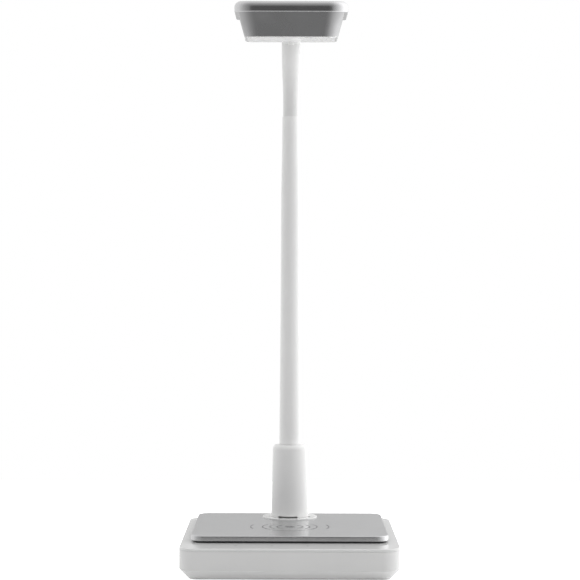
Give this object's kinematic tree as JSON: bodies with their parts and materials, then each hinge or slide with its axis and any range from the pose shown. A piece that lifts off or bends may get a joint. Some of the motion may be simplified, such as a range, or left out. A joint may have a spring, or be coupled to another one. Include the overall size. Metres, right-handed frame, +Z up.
{
  "type": "desk lamp with drawer base",
  "caption": "Desk lamp: tilting flat head on a short gooseneck and swivelling stem, over a square base with a charging plate on top and a shallow drawer in front.",
  "frame": {"origin": "centre of the base's footprint, on the table", "axes": "+Z up the stem, -Y towards the user, where the drawer opens and the head reaches, +X to the user's right"},
  "size_m": [0.18, 0.2455, 0.4807],
  "materials": {
    "base_plastic": "smooth white moulded housing",
    "steel_plate": "zinc plated floor plate and weights",
    "zinc_screws": "zinc plated screws, nuts and pins",
    "rubber": "matte rubber",
    "circuit_board": "glass fibre circuit board",
    "inlet_metal": "nickel plated shell",
    "key_print": "dark touch marks",
    "runner_plastic": "acetal runner",
    "drawer_plastic": "white moulded drawer front",
    "tray_plastic": "satin white tray",
    "felt": "grey felt liner",
    "carrier_plastic": "dark carrier",
    "silver_paint": "fine silver satin paint",
    "ferrite": "sintered ferrite",
    "copper": "enamelled copper wire",
    "ring_plastic": "white ring",
    "swivel_metal": "turned aluminium",
    "washer_plastic": "low friction washer",
    "stem_plastic": "satin white moulded stem and collar",
    "lead_jacket": "thin inner lead",
    "bead_plastic": "acetal gooseneck bead",
    "sleeve_rubber": "white silicone sleeve",
    "hinge_metal": "white satin coated hinge",
    "head_plastic": "silver satin lamp housing",
    "head_metal": "silver satin cover",
    "diffuser": "opal diffuser",
    "led_chip": "phosphor chip",
    "spreader_metal": "plain aluminium sheet"
  },
  "bodies": {
    "base": {"base_housing": "base_plastic", "floor_plate": "steel_plate", "floor_screws": "zinc_screws", "rest_pad": "rubber", "weight_blocks": "steel_plate", "board_spacers": "zinc_screws", "main_board": "circuit_board", "power_inlet": "inlet_metal", "touch_board": "circuit_board", "key_marks": "key_print", "runner_left": "runner_plastic", "runner_right": "runner_plastic", "plate_carrier": "carrier_plastic", "charging_plate": "silver_paint", "charger_board": "circuit_board", "ferrite_disc": "ferrite", "charging_coil": "copper", "foot_ring": "ring_plastic", "swivel_socket": "swivel_metal", "socket_screws": "zinc_screws", "thrust_washer": "washer_plastic"},
    "drawer": {"drawer_tray": "tray_plastic", "drawer_front": "drawer_plastic", "drawer_screws": "zinc_screws", "drawer_mat": "felt"},
    "arm": {"swivel_spindle": "swivel_metal", "friction_washer": "washer_plastic", "swivel_nut": "zinc_screws", "collar": "stem_plastic", "stem": "stem_plastic", "arm_lead": "lead_jacket", "neck_socket": "bead_plastic", "neck_sleeve_1": "sleeve_rubber"},
    "neck_1": {"neck_bead_1": "bead_plastic", "neck_sleeve_2": "sleeve_rubber"},
    "neck_2": {"neck_bead_2": "bead_plastic", "neck_sleeve_3": "sleeve_rubber", "neck_lead": "lead_jacket"},
    "neck_3": {"neck_bead_3": "bead_plastic", "neck_sleeve_4": "sleeve_rubber"},
    "neck_4": {"neck_bead_4": "bead_plastic", "neck_sleeve_5": "sleeve_rubber"},
    "knuckle": {"knuckle": "hinge_metal", "hinge_boot": "sleeve_rubber"},
    "head": {"head_bracket": "hinge_metal", "bracket_screws": "zinc_screws", "hinge_pin": "zinc_screws", "hinge_nut": "zinc_screws", "pivot_washers": "washer_plastic", "head_body": "head_plastic", "head_cover": "head_metal", "cover_screws": "zinc_screws", "diffuser": "diffuser", "led_board": "circuit_board", "heat_spreader": "spreader_metal", "leds": "led_chip"}
  },
  "joints": [
    {"name": "drawer_slide", "type": "slide", "parent": "base", "child": "drawer", "axis": [0, -1, 0], "range_m": [0, 0.09]},
    {"name": "arm_swivel", "type": "hinge", "parent": "base", "child": "arm", "pos_m": [0, 0.0535, 0.0355], "axis": [0, 0, 1], "range_deg": [-90, 90]},
    {"name": "neck_bend_1", "type": "hinge", "parent": "arm", "child": "neck_1", "pos_m": [0, 0.0535, 0.39255], "axis": [1, 0, 0], "range_deg": [-8, 8], "deforming": ["neck_sleeve_1"]},
    {"name": "neck_bend_2", "type": "hinge", "parent": "neck_1", "child": "neck_2", "pos_m": [0, 0.05179, 0.40311], "axis": [0, 0.9711, 0.2385], "range_deg": [-12, 12], "deforming": ["neck_sleeve_2"]},
    {"name": "neck_bend_3", "type": "hinge", "parent": "neck_2", "child": "neck_3", "pos_m": [0, 0.04841, 0.41326], "axis": [1, 0, 0], "range_deg": [-8, 8], "deforming": ["neck_sleeve_3", "neck_lead"]},
    {"name": "neck_bend_4", "type": "hinge", "parent": "neck_3", "child": "neck_4", "pos_m": [0, 0.04346, 0.42275], "axis": [0, 0.8462, 0.5329], "range_deg": [-12, 12], "deforming": ["neck_sleeve_4"]},
    {"name": "neck_bend_5", "type": "hinge", "parent": "neck_4", "child": "knuckle", "pos_m": [0, 0.03705, 0.43132], "axis": [1, 0, 0], "range_deg": [-8, 8], "deforming": ["neck_sleeve_5"]},
    {"name": "head_tilt", "type": "hinge", "parent": "knuckle", "child": "head", "pos_m": [0, 0.02613, 0.44185], "axis": [1, 0, 0], "range_deg": [-25, 50], "deforming": ["hinge_boot"]}
  ],
  "couplings": [
    {"joint": "neck_bend_3", "follows": "neck_bend_1", "ratio": 1},
    {"joint": "neck_bend_5", "follows": "neck_bend_1", "ratio": 1},
    {"joint": "neck_bend_4", "follows": "neck_bend_2", "ratio": 1}
  ]
}
